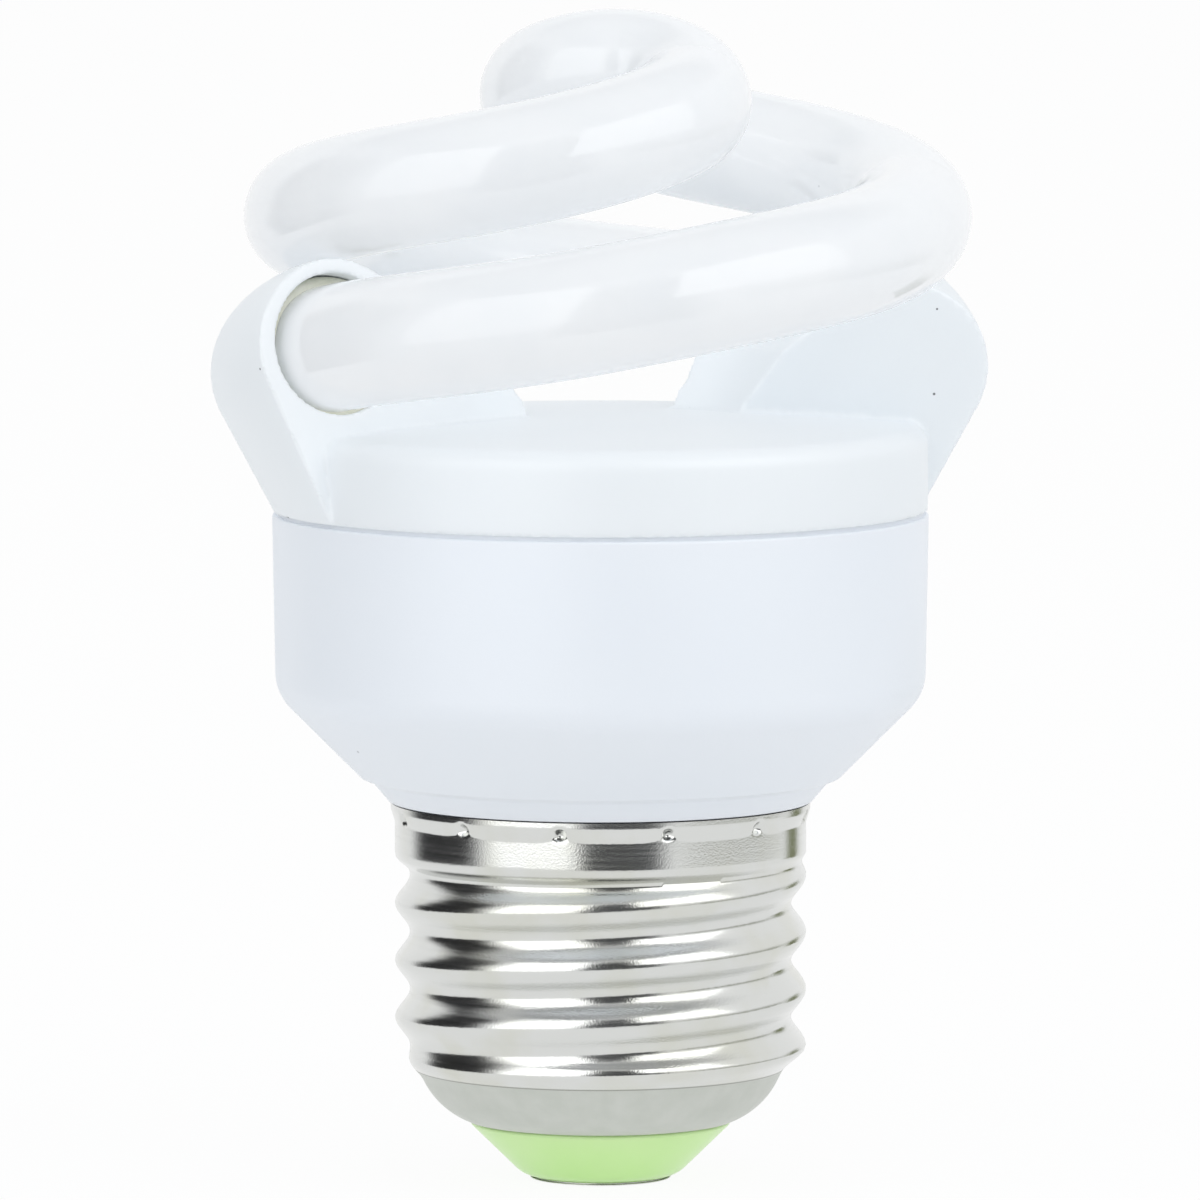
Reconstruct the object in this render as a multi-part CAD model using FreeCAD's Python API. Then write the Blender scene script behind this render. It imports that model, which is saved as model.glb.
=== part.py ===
"""Spiral energy saving bulb with an E27 screw cap, in millimetres.

The bottom of the centre contact is at the origin and +Z runs up the lamp's axis. Angles are
counted counter-clockwise from +X, as seen from above, and the front of the lamp faces -Y.
Each function makes one piece, and the two hooded sockets and tube strands are half a turn apart.
"""
import FreeCAD
import Part

import os
from math import acos, atan2, cos, degrees, hypot, pi, radians, sin, sqrt, tan

V = FreeCAD.Vector
AXIS = V(0, 0, 1)
ORIGIN = V(0, 0, 0)

# Contact end of the cap
contact_radius = 5.0
contact_thickness = 0.3
stem_radius = 1.5
stem_stand = 0.4
insulator_cone_height = 3.45
insulator_inner_height = 2.45
fit_clearance = 0.05
edge_tolerance = 0.01

# Screw cap: standard E27 thread, rolled into thin sheet
thread_pitch = 3.63
thread_crest_radius = 13.0
thread_root_radius = 12.05
thread_length = 13.4
thread_run_in = 1.8
thread_run_out = 1.1
thread_first_crest = 4.7
shell_wall = 0.3
shell_bottom_radius = 8.5
dome_radius = 5.04
dome_rise = 4.7
dome_plain_height = 3.65
collar_radius = 13.0
collar_height = 3.15
crimp_count = 12
crimp_first_angle = 258.9
crimp_drop = 0.85
crimp_radius = 0.45
crimp_depth = 0.28

# Lower housing
housing_wall = 1.6
neck_length = 9.0
neck_radius = 11.6
neck_wall = 1.5
neck_edge_round = 0.4
lip_gap = 0.1
lip_height = 1.55
lip_radius = 13.4
lip_round = 0.9
cone_foot_radius = 15.2
case_height = 16.6
body_top_radius = 20.7
body_draft = 0.2
body_corner_round = 3.0
rim_edge_round = 0.3
spigot_wall = 1.25
spigot_height = 3.0
ledge_angles = (60, 120, 240, 300)
ledge_thickness = 1.2
ledge_reach = 1.0

# Tube holder
skirt_inset = 0.05
skirt_wall = 1.25
skirt_fit = 0.15
seam_gap = 0.28
seam_depth = 0.4
holder_height = 6.4
plate_wall = 1.6
plate_dome_radius = 230.0
plate_edge_round = 1.2
hold_down_width = 1.6

# Hooded sockets, along the first strand
hood_radius = 5.6
hood_wall = 1.2
hood_foot_proud = 0.1
hood_lean = 10.2
hood_closed_angle = 185.0
hood_mouth_angle = 211.0
hood_foot_reach_closed = 10.2
hood_foot_reach_mouth = 13.34
hood_knee_reach_closed = 7.4
hood_knee_reach_mouth = 11.6
hood_knee_rise = 3.8
mouth_clearance = 0.45
mouth_lift = 0.25

# Glass tube: helix, sweep-in and crossing at the top, with rises above the holder's crown
tube_radius = 4.0
tube_top_radius = 3.75
coil_inset = 1.7
sweep_in_radius = 12.2
lobe_radius = 4.75
coil_drift = 0.06
coil_tilt = 0.039
coil_tilt_in = (211.0, 300.0)
coil_tilt_out = (300.0, 360.0)
tube_end_angle = 195.0
rise_hood_closed = 2.6
rise_mouth = 4.8
rise_front = 7.3
rise_side = 12.35
rise_sweep_in = 16.1
rise_lobe = 19.8
rise_crown = 21.65
front_angle = 270.0
quarter = 90.0

# Ballast board
board_depth = 2.7
board_thickness = 1.2
board_clearance = 0.3

# Parts that hang under the board
bulk_radius = 5.0
bulk_length = 16.0
bulk_groove = 0.5
bulk_groove_drop = 1.4
bulk_edge_round = 0.6
choke_place = (11.2, 0.0)
choke_width = 10.4
choke_depth = 5.0
choke_tall = 8.8
choke_leg = 3.0
choke_yoke = 1.5
choke_side_leg = 1.1
bobbin_wall = 0.6
bobbin_flange = 0.7
bobbin_flange_depth = 10.2
winding_depth = 9.6
part_clearance = 0.1
toroid_place = (-10.5, 6.0)
toroid_outer = 4.2
toroid_inner = 2.4
toroid_tall = 3.4
toroid_wire = 0.4
toroid_winding_sector = 70.0
toroid_winding_angles = (20, 140, 260)
transistor_places = ((-7.0, -10.8), (-1.0, -13.0))
transistor_radius = 2.3
transistor_flat = 1.4
transistor_tall = 4.6
transistor_legs = 2.0
leg_width = 0.45
leg_pitch = 1.27
diode_rows = (-15.4, -12.5, -9.6, -6.7)
diode_middle = -3.0
diode_radius = 1.3
diode_length = 4.8
diode_lead_radius = 0.38
trigger_place = (-3.5, 8.7)
trigger_radius = 0.85
trigger_length = 3.2
film_places = ((5.6, 11.6), (-2.6, 11.6), (9.6, -9.2))
film_size = (7.2, 3.2, 6.0)
film_round = 0.7
filter_place = (2.3, -8.4)
filter_flange_radius = 3.0
filter_core_radius = 1.5
filter_winding_radius = 2.6
filter_tall = 7.0
filter_flange = 0.9
resistor_places = ((3.3, 7.4), (11.0, 7.4), (9.8, -6.4))
resistor_radius = 0.9
resistor_length = 4.6
resistor_lead_radius = 0.3
fuse_place = (-5.0, 5.4)
fuse_radius = 1.5
fuse_length = 9.0
fuse_drop = 2.0
fuse_edge_round = 0.5
fuse_lead_radius = 0.35

# Leads and posts
lead_radius = 0.45
shell_lead_place = (4.9, -5.2)
shell_lead_drop = 2.0
post_width = 0.8
post_tall = 4.4
post_angles = (196.0, 205.0)
post_inset = 2.1
filament_lead_radius = 0.25
filament_spread = 1.3
cement_angles = (198.0, 205.0)
cement_stand = 0.6

# Heights from the bottom of the contact up, each from the piece below it
insulator_cone_top = contact_thickness + insulator_cone_height
insulator_inner_top = insulator_cone_top + insulator_inner_height
stem_top = insulator_inner_top + stem_stand
thread_start = insulator_cone_top + dome_plain_height
thread_end = thread_start + thread_length
collar_top = thread_end + collar_height
lip_bottom = collar_top + lip_gap
neck_bottom = lip_bottom - neck_length
cone_foot = lip_bottom + lip_height
seam_height = cone_foot + case_height
skirt_bottom = seam_height + seam_gap
plate_crown = seam_height + holder_height
board_height = seam_height - board_depth
fuse_bottom = neck_bottom - fuse_drop
cement_bottom = plate_crown + cement_stand

# Radii of the pieces that fit into each other, from the body's top rim
body_foot_radius = body_top_radius - body_draft
coil_radius = body_top_radius - coil_inset
skirt_radius = body_top_radius - skirt_inset
skirt_inner_radius = skirt_radius - skirt_wall
spigot_radius = skirt_inner_radius - skirt_fit
rim_bore_radius = spigot_radius - spigot_wall
board_radius = rim_bore_radius - board_clearance
post_circle_radius = board_radius - post_inset
hood_foot_radius = skirt_radius + hood_foot_proud
neck_inner = neck_radius - neck_wall
collar_seat_radius = collar_radius - shell_wall - fit_clearance


def polar(radius, angle, height):
    """A point from its distance to the axis, its angle in degrees and its height."""
    return V(radius * cos(radians(angle)), radius * sin(radians(angle)), height)


def half_turn(shape):
    """The same piece on the other side of the lamp's axis."""
    copy = shape.copy()
    copy.rotate(ORIGIN, AXIS, 180)
    return copy


def cylinder(radius, bottom, top, place=(0, 0)):
    """An upright round bar between two heights."""
    return Part.makeCylinder(radius, top - bottom, V(place[0], place[1], bottom))


def block(size, place, bottom):
    """A box centred on a place in plan, standing on a height."""
    corner = V(place[0] - size[0] / 2, place[1] - size[1] / 2, bottom)
    return Part.makeBox(size[0], size[1], size[2], corner)


def corner_arc(before, corner, after, radius):
    """The tangent arc that rounds a corner, as its start, middle and end points."""
    back = (before - corner).normalize()
    onward = (after - corner).normalize()
    half = back.getAngle(onward) / 2
    reach = radius / tan(half)
    start = corner + back * reach
    end = corner + onward * reach
    inward = (back + onward).normalize()
    return start, corner + inward * (radius / sin(half) - radius), end


def closed_wire(corners):
    """A closed outline from (point, round) corners."""
    count = len(corners)
    runs = []
    for index, (point, radius) in enumerate(corners):
        if radius:
            runs.append(corner_arc(corners[index - 1][0], point, corners[(index + 1) % count][0], radius))
        else:
            runs.append((point,))
    edges = []
    for run, following in zip(runs, runs[1:] + runs[:1]):
        if len(run) > 1:
            edges.append(Part.Arc(*run).toShape())
        edges.append(Part.makeLine(run[-1], following[0]))
    return Part.Wire(edges)


def turned(corners):
    """A turned piece from its half outline, given as (radius, height, round) corners."""
    outline = closed_wire([(V(radius, 0, height), rounding) for radius, height, rounding in corners])
    return Part.Face(outline).revolve(ORIGIN, AXIS, 360)


def bent_bar(points, radius, bend):
    """A round wire along points: straight bars joined by bends of one radius."""
    pieces = []
    start = points[0]
    for before, corner, after in zip(points, points[1:], points[2:]):
        into, _, out = corner_arc(before, corner, after, bend)
        pieces.append(straight_bar(start, into, radius))
        run_in = corner - before
        normal = run_in.cross(after - corner).normalize()
        turn = degrees(run_in.getAngle(after - corner))
        pivot = into + normal.cross(run_in).normalize() * bend
        section = Part.Face(Part.Wire(Part.makeCircle(radius, into, run_in)))
        pieces.append(section.revolve(pivot, normal, turn))
        start = out
    pieces.append(straight_bar(start, points[-1], radius))
    return pieces[0].fuse(pieces[1:]).removeSplitter()


def straight_bar(start, end, radius):
    """A round bar between two points."""
    return Part.makeCylinder(radius, (end - start).Length, start, end - start)


def smooth_step(value, span):
    """Rises softly from 0 to 1 across a span."""
    share = min(max((value - span[0]) / (span[1] - span[0]), 0.0), 1.0)
    return share * share * (3 - 2 * share)


def smooth_through(stations, at):
    """A height on the smooth curve through (angle, height) stations."""
    index = 1
    while index < len(stations) - 2 and at > stations[index + 1][0]:
        index += 1
    (x0, y0), (x1, y1), (x2, y2) = stations[index - 1], stations[index], stations[index + 1]
    x3, y3 = stations[min(index + 2, len(stations) - 1)]
    span = x2 - x1
    share = (at - x1) / span
    leave = (y2 - y0) / (x2 - x0) * span
    arrive = (y3 - y1) / (x3 - x1) * span
    return (y1 * (2 * share ** 3 - 3 * share ** 2 + 1) + leave * (share ** 3 - 2 * share ** 2 + share)
            + y2 * (3 * share ** 2 - 2 * share ** 3) + arrive * (share ** 3 - share ** 2))


# The first strand turns from the hood's closed end to the lamp's axis, and climbs as it turns
turn_side = 360.0
turn_sweep_in = turn_side + quarter
turn_lobe = turn_sweep_in + quarter
turn_axis = turn_lobe + quarter
climb = (
    (2 * hood_closed_angle - hood_mouth_angle, 2 * rise_hood_closed - rise_mouth),
    (hood_closed_angle, rise_hood_closed),
    (hood_mouth_angle, rise_mouth),
    (front_angle, rise_front),
    (turn_side, rise_side),
    (turn_sweep_in, rise_sweep_in),
    (turn_lobe, rise_lobe),
    (turn_axis, rise_crown),
    (turn_axis + quarter, rise_lobe),
)


def strand_height(turn):
    """Height of the strands' centre lines, before the coil's tilt."""
    return plate_crown + smooth_through(climb, turn)


def strand_plan(turn):
    """Place of the first strand's centre line in plan, by the angle it has turned through."""
    sweep_in_x = coil_radius - sweep_in_radius
    if turn <= turn_side:
        return coil_radius * cos(radians(turn)), coil_radius * sin(radians(turn))
    if turn <= turn_sweep_in:
        a = radians(turn - turn_side)
        return sweep_in_x + sweep_in_radius * cos(a), sweep_in_radius * sin(a)
    if turn <= turn_lobe:
        a = radians(turn - turn_sweep_in)
        reach = sweep_in_x + lobe_radius
        return sweep_in_x - reach * sin(a), lobe_radius + (sweep_in_radius - lobe_radius) * cos(a)
    a = radians(turn - turn_lobe)
    return -lobe_radius * cos(a), lobe_radius - lobe_radius * sin(a)


def strand_point(turn, side):
    """Centre of the tube on the first strand (side 1) or the second one (side -1).

    Above its sockets the coil leans a little to the right, and its lower turn tips to the back.
    """
    x, y = strand_plan(turn)
    height = strand_height(turn)
    drift = coil_drift * max(height - plate_crown - rise_mouth, 0)
    tilt = coil_tilt * smooth_step(turn, coil_tilt_in) * (1 - smooth_step(turn, coil_tilt_out))
    return V(side * x + drift, side * y, height - tilt * side * y)


def spiral_tube():
    """The sealed glass tube: up one strand, across the axis and down the other."""
    step_count = 30
    rest = turn_axis - tube_end_angle
    turns = [tube_end_angle + rest * step / step_count for step in range(step_count + 1)]
    points = [strand_point(turn, 1) for turn in turns]
    points += [strand_point(turn, -1) for turn in reversed(turns[:-1])]
    line = Part.BSplineCurve()
    line.interpolate(points)
    sweep = Part.BRepOffsetAPI.MakePipeShell(Part.Wire(line.toShape()))
    sweep.setBiNormalMode(AXIS)
    middle = (line.FirstParameter + line.LastParameter) / 2
    for parameter, radius in ((line.FirstParameter, tube_radius), (middle, tube_top_radius),
                              (line.LastParameter, tube_radius)):
        section = Part.makeCircle(radius, line.value(parameter), V(*line.tangent(parameter)[0]))
        sweep.add(Part.Wire(section))
    sweep.build()
    sweep.makeSolid()
    return sweep.shape()


def hood_frame(angle):
    """Centre, outward, forward and upward directions of the leaning hood section at an angle."""
    centre = polar(coil_radius, angle, strand_height(angle))
    outward = polar(1, angle, 0)
    around = polar(1, angle + 90, 0)
    lean = radians(hood_lean)
    upward = AXIS * cos(lean) - around * sin(lean)
    forward = around * cos(lean) + AXIS * sin(lean)
    return centre, outward, forward, upward


def tangent_angle(foot, radius, side):
    """Where a line from a foot point touches a circle about the origin, on one side of it."""
    distance = hypot(foot[0], foot[1])
    return atan2(foot[1], foot[0]) + side * acos(radius / distance)


def hood_section(angle, radius, outer_foot, knee, inner_foot, floor):
    """Outline of the hood at an angle: a round top, with sides that run down to two feet.

    The outer side is one straight slope and the inner side has a knee. These points, and the
    floor between the inner and the outer foot, are (distance from the axis, height) pairs.
    """
    centre, outward, _, upward = hood_frame(angle)
    lean = radians(hood_lean)

    def flat(point):
        up = (point[1] - centre.z) / cos(lean)
        return sqrt(point[0] ** 2 - (up * sin(lean)) ** 2) - coil_radius, up

    def place(point):
        return centre + outward * point[0] + upward * point[1]

    start_angle = tangent_angle(flat(outer_foot), radius, 1)
    end_angle = tangent_angle(flat(knee), radius, -1) % (2 * pi)
    rim = [place((radius * cos(a), radius * sin(a)))
           for a in (start_angle, (start_angle + end_angle) / 2, end_angle)]
    loop = [place(flat(p)) for p in (knee, inner_foot, *floor, outer_foot)]
    edges = [Part.Arc(*rim).toShape()]
    for a, b in zip([rim[2], *loop], [*loop, rim[0]]):
        edges.append(Part.makeLine(a, b))
    return Part.Wire(edges)


def hood_inner(angle, reach_closed, reach_mouth):
    """Distance from the axis to the hood's inner side, whose reach grows from closed end to mouth."""
    share = (angle - hood_closed_angle) / (hood_mouth_angle - hood_closed_angle)
    return coil_radius - reach_closed - share * (reach_mouth - reach_closed)


def hood_angles(start, end):
    """Evenly spaced section angles for a stretch of hood."""
    span_count = 3
    return [start + (end - start) * step / span_count for step in range(span_count + 1)]


def plate_height(radius):
    """Height of the plate's low dome at a distance from the axis."""
    return plate_crown - plate_dome_radius + sqrt(plate_dome_radius ** 2 - radius ** 2)


plate_rim_under = plate_height(skirt_inner_radius) - plate_wall


def hood_block():
    """The outside of one hooded socket, down into the skirt and the plate."""
    wires = []
    in_plate = plate_crown - plate_wall / 2
    in_skirt = skirt_inner_radius + skirt_wall / 2
    for angle in hood_angles(hood_closed_angle, hood_mouth_angle):
        foot = hood_inner(angle, hood_foot_reach_closed, hood_foot_reach_mouth)
        knee_radius = hood_inner(angle, hood_knee_reach_closed, hood_knee_reach_mouth)
        knee = (knee_radius, plate_crown + hood_knee_rise)
        floor = ((foot, in_plate), (in_skirt, in_plate), (in_skirt, skirt_bottom))
        outer_foot = (hood_foot_radius, skirt_bottom)
        wires.append(hood_section(angle, hood_radius, outer_foot, knee, (foot, plate_height(foot)), floor))
    return Part.makeLoft(wires, True, False)


def hood_cavity():
    """The hollow of one hooded socket, open to the inside of the case."""
    wires = []
    wall_turn = degrees(hood_wall / coil_radius)
    floor_height = plate_rim_under - hood_wall
    for angle in hood_angles(hood_closed_angle + wall_turn, hood_mouth_angle - wall_turn):
        foot = hood_inner(angle, hood_foot_reach_closed, hood_foot_reach_mouth) + 2 * hood_wall
        knee_radius = hood_inner(angle, hood_knee_reach_closed, hood_knee_reach_mouth) + 2 * hood_wall
        knee = (knee_radius, plate_crown + hood_knee_rise - hood_wall)
        outer_foot = (skirt_inner_radius, floor_height)
        wires.append(hood_section(angle, hood_radius - hood_wall, outer_foot, knee, (foot, floor_height), ()))
    return Part.makeLoft(wires, True, False)


def mouth_hole():
    """The round hole of the socket that the tube leaves through."""
    centre, _, forward, upward = hood_frame(hood_mouth_angle)
    start = centre + upward * mouth_lift - forward * 2 * hood_wall
    return Part.makeCylinder(tube_radius + mouth_clearance, 4 * hood_wall, start, forward)


def tube_holder():
    """The moulded cover: skirt, low-domed plate, two hooded sockets and hold-down posts."""
    dome_middle = plate_crown - plate_dome_radius
    round_radius = skirt_radius - plate_edge_round
    reach = plate_dome_radius - plate_edge_round
    round_height = dome_middle + sqrt(reach ** 2 - round_radius ** 2)
    tilt = round_radius / reach

    def on_round(turn):
        return V(round_radius + plate_edge_round * cos(turn), 0, round_height + plate_edge_round * sin(turn))

    def on_dome(radius, drop):
        return V(radius, 0, plate_height(radius) - drop)

    edge = on_round(pi / 2 - tilt)
    under_edge = on_dome(skirt_inner_radius, plate_wall)
    land_radius = skirt_radius - seam_depth
    corners = [on_round(0), V(skirt_radius, 0, skirt_bottom), V(land_radius, 0, skirt_bottom),
               V(land_radius, 0, seam_height), V(skirt_inner_radius, 0, seam_height), under_edge]
    outline = [
        Part.Arc(on_dome(0, 0), on_dome(edge.x / 2, 0), edge).toShape(),
        Part.Arc(edge, on_round((pi / 2 - tilt) / 2), on_round(0)).toShape(),
        *[Part.makeLine(a, b) for a, b in zip(corners, corners[1:])],
        Part.Arc(under_edge, on_dome(skirt_inner_radius / 2, plate_wall), on_dome(0, plate_wall)).toShape(),
        Part.makeLine(on_dome(0, plate_wall), on_dome(0, 0)),
    ]
    cover = Part.Face(Part.Wire(outline)).revolve(ORIGIN, AXIS, 360)

    hood = hood_block()
    hollow = hood_cavity().fuse(mouth_hole())
    cover = cover.fuse([hood, half_turn(hood)])
    cover = cover.cut([hollow, half_turn(hollow)])
    board_top = board_height + board_thickness
    for angle in ledge_angles:
        post = Part.makeBox(hold_down_width, hold_down_width, plate_rim_under + plate_wall / 2 - board_top)
        post.translate(V(board_radius - ledge_reach - hold_down_width, -hold_down_width / 2, board_top))
        post.rotate(ORIGIN, AXIS, angle)
        cover = cover.fuse(post)
    return cover.removeSplitter()


def lower_housing():
    """The moulded lower case: crimped neck, lip, cone, body, spigot and the board's ledges."""
    inner_radius = body_foot_radius - housing_wall
    seat_bottom = thread_end + shell_wall
    cone_top = cone_foot + body_foot_radius - cone_foot_radius
    inner_cone_bottom = cone_foot + housing_wall * sqrt(2) - (cone_foot_radius - neck_inner)
    inner_cone_top = inner_cone_bottom + inner_radius - neck_inner
    spigot_top = seam_height + spigot_height
    case = turned([
        (neck_inner, neck_bottom, 0),
        (neck_radius, neck_bottom, neck_edge_round),
        (neck_radius, seat_bottom - (collar_seat_radius - neck_radius), 0),
        (collar_seat_radius, seat_bottom, 0),
        (collar_seat_radius, lip_bottom, 0),
        (lip_radius, lip_bottom, 0),
        (lip_radius, cone_foot, lip_round),
        (cone_foot_radius, cone_foot, rim_edge_round),
        (body_foot_radius, cone_top, body_corner_round),
        (body_top_radius, seam_height, rim_edge_round),
        (spigot_radius, seam_height, 0),
        (spigot_radius, spigot_top, rim_edge_round),
        (rim_bore_radius, spigot_top, rim_edge_round),
        (rim_bore_radius, seam_height, 0),
        (inner_radius, seam_height - (inner_radius - rim_bore_radius), 0),
        (inner_radius, inner_cone_top, body_corner_round - housing_wall),
        (neck_inner, inner_cone_bottom, 0),
    ])
    ledge_bottom = inner_cone_top + housing_wall
    ledge_inner = board_radius - ledge_reach
    for angle in ledge_angles:
        ledge_length = inner_radius + housing_wall / 2 - ledge_inner
        ledge = Part.makeBox(ledge_length, ledge_thickness, board_height - ledge_bottom)
        ledge.translate(V(ledge_inner, -ledge_thickness / 2, ledge_bottom))
        ledge.rotate(ORIGIN, AXIS, angle)
        case = case.fuse(ledge)
    return case.cut(crimps(crimp_radius + shell_wall + fit_clearance)).removeSplitter()


def crimps(ball_radius):
    """Balls that press the crimp dimples of the collar into the neck."""
    balls = []
    for index in range(crimp_count):
        angle = crimp_first_angle + index * 360 / crimp_count
        ball = Part.makeSphere(ball_radius)
        ball.translate(polar(collar_radius + crimp_radius - crimp_depth, angle, collar_top - crimp_drop))
        balls.append(ball)
    return balls


def shell_radius(angle, height):
    """Outer radius of the cap: dome, rolled thread that climbs with the angle, then collar."""
    dome_middle = shell_bottom_radius - sqrt(dome_radius ** 2 - dome_rise ** 2)
    below = max(insulator_cone_top + dome_rise - height, 0)
    dome = dome_middle + sqrt(dome_radius ** 2 - below ** 2)
    into_thread = smooth_step(height, (thread_start, thread_start + thread_run_in))
    out_of_thread = smooth_step(height, (thread_end - thread_run_out, thread_end))
    root = dome + (thread_root_radius - dome_middle - dome_radius) * into_thread
    root += (collar_radius - thread_root_radius) * out_of_thread
    turns = (height - thread_start - thread_first_crest) / thread_pitch - angle / 360
    wave = (thread_crest_radius - thread_root_radius) * (0.5 + 0.5 * cos(2 * pi * turns))
    return root + wave * into_thread * (1 - out_of_thread)


def shell_skin(inset):
    """One side of the rolled sheet, as a smooth surface through rings of points."""
    row_count = 48
    column_count = 24
    rise = collar_top - insulator_cone_top
    angles = [360 * column / column_count for column in range(column_count)]
    grid = []
    for row in range(row_count + 1):
        height = insulator_cone_top + rise * row / row_count
        ring = [polar(shell_radius(angle, height) - inset, angle, height) for angle in angles]
        grid.append(ring + ring[:1])
    skin = Part.BSplineSurface()
    skin.interpolate(grid)
    return skin.toShape()


def screw_shell():
    """The rolled screw cap with its crimped collar."""
    outer = shell_skin(0)
    inner = shell_skin(shell_wall)

    def rim(skin, height):
        return [e for e in skin.Edges if abs(e.BoundBox.ZMin - height) < edge_tolerance
                and abs(e.BoundBox.ZMax - height) < edge_tolerance][0]

    rings = [Part.makeRuledSurface(rim(outer, height), rim(inner, height))
             for height in (insulator_cone_top, collar_top)]
    shell = Part.makeShell([outer, inner, *rings])
    shell.sewShape()
    cap = Part.Solid(shell)
    if cap.Volume < 0:
        cap.reverse()
    collar = cylinder(collar_radius - shell_wall / 2, thread_end, collar_top)
    dents = [ball.common(collar) for ball in crimps(crimp_radius + shell_wall)]
    return cap.fuse(dents).cut(crimps(crimp_radius))


def cap_insulator():
    """The insulating cone between the contact and the screw shell."""
    neck = shell_bottom_radius - shell_wall - fit_clearance
    bore = stem_radius + fit_clearance
    return turned([
        (bore, contact_thickness, 0),
        (contact_radius, contact_thickness, 0),
        (shell_bottom_radius, insulator_cone_top, 0),
        (neck, insulator_cone_top, 0),
        (neck, insulator_inner_top, 0),
        (bore, insulator_inner_top, 0),
    ])


def centre_contact():
    """The contact plate with the soldered eyelet that carries the lead."""
    plate = cylinder(contact_radius, 0, contact_thickness)
    return plate.fuse(cylinder(stem_radius, 0, stem_top)).removeSplitter()


def circuit_board():
    """The round board on the ledges of the case."""
    return cylinder(board_radius, board_height, board_height + board_thickness)


def bulk_capacitor():
    """The can capacitor on the lamp's axis, with the crimp groove near its rubber end."""
    bottom = board_height - bulk_length
    groove_middle = board_height - bulk_groove_drop - bulk_groove
    return turned([
        (0, bottom, 0),
        (bulk_radius, bottom, bulk_edge_round),
        (bulk_radius, groove_middle - bulk_groove, 0),
        (bulk_radius - bulk_groove, groove_middle, 0),
        (bulk_radius, groove_middle + bulk_groove, 0),
        (bulk_radius, board_height, bulk_edge_round / 2),
        (0, board_height, 0),
    ])


def choke_core():
    """Two E-shaped ferrite halves around the coil former."""
    bottom = board_height - choke_tall
    core = block((choke_width, choke_depth, choke_tall), choke_place, bottom)
    window = (choke_width - choke_leg) / 2 - choke_side_leg
    offset = choke_leg / 2 + window / 2
    for side in (-1, 1):
        place = (choke_place[0] + side * offset, choke_place[1])
        hole = (window, 2 * choke_depth, choke_tall - 2 * choke_yoke)
        core = core.cut(block(hole, place, bottom + choke_yoke))
    return core


choke_room = choke_width - 2 * choke_side_leg - 2 * part_clearance
former_bore = (choke_leg + 2 * part_clearance, choke_depth + 2 * part_clearance)
former_tube = (former_bore[0] + 2 * bobbin_wall, former_bore[1] + 2 * bobbin_wall)
former_bottom = board_height - choke_tall + choke_yoke + part_clearance
former_top = board_height - choke_yoke - part_clearance


def choke_bobbin():
    """The square coil former around the core's middle leg."""
    tall = former_top - former_bottom
    former = block((*former_tube, tall), choke_place, former_bottom)
    for bottom in (former_bottom, former_top - bobbin_flange):
        former = former.fuse(block((choke_room, bobbin_flange_depth, bobbin_flange), choke_place, bottom))
    return former.cut(block((*former_bore, tall), choke_place, former_bottom)).removeSplitter()


def choke_winding():
    """The copper winding between the former's flanges."""
    bottom = former_bottom + bobbin_flange
    tall = former_top - bobbin_flange - bottom
    coil = block((choke_room - part_clearance, winding_depth, tall), choke_place, bottom)
    uprights = [e for e in coil.Edges if abs(e.BoundBox.ZLength - tall) < edge_tolerance]
    return coil.makeFillet(bobbin_wall, uprights).cut(block((*former_tube, tall), choke_place, bottom))


def toroid_ring(outer, inner, bottom, top):
    """A flat ring about the toroid's own axis."""
    return cylinder(outer, bottom, top, toroid_place).cut(cylinder(inner, bottom, top, toroid_place))


toroid_top = board_height - toroid_wire


def drive_toroid():
    """The ferrite ring of the drive transformer."""
    return toroid_ring(toroid_outer, toroid_inner, toroid_top - toroid_tall, toroid_top)


def toroid_windings():
    """Three short windings wrapped around the ring."""
    wrap = toroid_ring(toroid_outer + toroid_wire, toroid_inner - toroid_wire,
                       toroid_top - toroid_tall - toroid_wire, board_height).cut(drive_toroid())
    middle = V(toroid_place[0], toroid_place[1], 0)
    windings = []
    for angle in toroid_winding_angles:
        sector = Part.makeCylinder(2 * toroid_outer, board_height, middle, AXIS, toroid_winding_sector)
        sector.rotate(middle, AXIS, angle)
        windings.append(wrap.common(sector))
    return Part.makeCompound(windings)


def transistors():
    """Two half-round transistors on three legs each."""
    pieces = []
    top = board_height - transistor_legs
    for x, y in transistor_places:
        body = cylinder(transistor_radius, top - transistor_tall, top, (x, y))
        flat = block((4 * transistor_radius, 2 * transistor_radius, 2 * transistor_tall),
                     (x, y + transistor_flat + transistor_radius), top - 1.5 * transistor_tall)
        body = body.cut(flat)
        for step in (-1, 0, 1):
            body = body.fuse(block((leg_width, leg_width, transistor_legs), (x + step * leg_pitch, y), top))
        pieces.append(body.removeSplitter())
    return Part.makeCompound(pieces)


def axial_part(place, along, radius, length, wire_radius):
    """A barrel on the board's underside, with a lead bent up to the board at each end."""
    middle = V(place[0], place[1], board_height - radius)
    barrel = Part.makeCylinder(radius, length, middle - along * (length / 2), along)
    bend = 2 * wire_radius
    piece = barrel
    for side in (-1, 1):
        start = middle + along * (side * length / 2)
        corner = start + along * (side * 2 * bend)
        lead = bent_bar([start, corner, V(corner.x, corner.y, board_height)], wire_radius, bend)
        piece = piece.fuse(lead)
    return piece.removeSplitter()


def bridge_diodes():
    """Four rectifier diodes side by side."""
    along = V(0, 1, 0)
    places = [(x, diode_middle) for x in diode_rows]
    return Part.makeCompound([axial_part(place, along, diode_radius, diode_length, diode_lead_radius)
                              for place in places])


def trigger_diode():
    """The small glass starting diode."""
    return axial_part(trigger_place, V(1, 0, 0), trigger_radius, trigger_length, resistor_lead_radius)


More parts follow.
